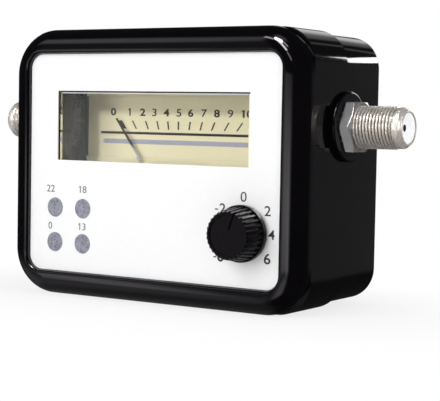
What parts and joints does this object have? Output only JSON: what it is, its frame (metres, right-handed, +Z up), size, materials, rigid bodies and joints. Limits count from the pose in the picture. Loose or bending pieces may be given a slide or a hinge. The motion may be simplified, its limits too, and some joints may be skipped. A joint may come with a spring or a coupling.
{
  "type": "tv signal finder",
  "caption": "Hand-held signal finder: black case with a moving-coil meter window, lamp windows, a level knob and a threaded coaxial socket on each side.",
  "frame": {"origin": "on the surface that the case stands on, under the middle of the whole meter's box", "axes": "+X to the right as the user sees it, along the sockets; +Y from the face to the back; +Z up"},
  "size_m": [0.1116, 0.0442, 0.0634],
  "materials": {
    "case_black": "gloss moulded plastic",
    "face_white": "satin printed sheet",
    "lamp_frost": "frosted, finely speckled",
    "led_clear": "clear resin",
    "clear_plastic": "clear moulded plastic",
    "dial_cream": "matt printed card on metal",
    "meter_black": "matt moulded plastic",
    "pointer_black": "matt black paint",
    "knob_black": "fine satin moulded plastic",
    "nickel": "nickel plate",
    "insulator_white": "waxy white plastic",
    "brass": "machined",
    "steel": "zinc plated",
    "aluminium": "machined",
    "magnet_grey": "sintered",
    "copper": "enamelled wire",
    "board_green": "solder mask",
    "part_black": "moulded epoxy",
    "sleeve_blue": "shrink sleeve",
    "tin": "tin plate",
    "phenolic_brown": "phenolic wafer"
  },
  "bodies": {
    "case": {"amplifier_chip": "part_black", "board_screws": "steel", "bridge_screws": "steel", "buzzer": "part_black", "capacitors": "sleeve_blue", "case_screws": "steel", "chokes": "copper", "circuit_board": "board_green", "core_magnet": "magnet_grey", "core_webs": "aluminium", "dial_plate": "dial_cream", "dial_screws": "steel", "face_plate": "face_white", "front_bridge": "aluminium", "front_hairspring": "brass", "front_jewel_screw": "brass", "front_shell": "case_black", "lamp_window_lower_left": "lamp_frost", "lamp_window_lower_right": "lamp_frost", "lamp_window_upper_left": "lamp_frost", "lamp_window_upper_right": "lamp_frost", "led_leads": "tin", "led_lower_left": "led_clear", "led_lower_right": "led_clear", "led_upper_left": "led_clear", "led_upper_right": "led_clear", "left_socket_body": "nickel", "left_socket_contact": "brass", "left_socket_insulator": "insulator_white", "left_socket_nut": "nickel", "left_socket_washer": "nickel", "meter_base": "meter_black", "meter_cover": "clear_plastic", "meter_terminals": "brass", "pot_housing": "steel", "pot_track": "phenolic_brown", "rear_cover": "case_black", "rear_hairspring": "brass", "rear_jewel_screw": "brass", "rf_shield": "tin", "right_socket_body": "nickel", "right_socket_contact": "brass", "right_socket_insulator": "insulator_white", "right_socket_nut": "nickel", "right_socket_washer": "nickel", "yoke_ring": "steel"},
    "knob": {"knob": "knob_black", "pot_shaft": "aluminium", "pot_wiper": "brass"},
    "pointer": {"meter_pointer": "pointer_black", "moving_coil": "copper", "pivot_staffs": "steel", "balance_weights": "brass"}
  },
  "joints": [
    {"name": "knob_turn", "type": "hinge", "parent": "case", "child": "knob", "pos_m": [0.0258, -0.0149, 0.018], "axis": [0, 1, 0], "range_deg": [-155, 115]},
    {"name": "pointer_swing", "type": "hinge", "parent": "case", "child": "pointer", "pos_m": [0, -0.0043, 0.0195], "axis": [0, 1, 0], "range_deg": [0, 74], "stiffness_Nm_per_rad": 0.0005}
  ]
}
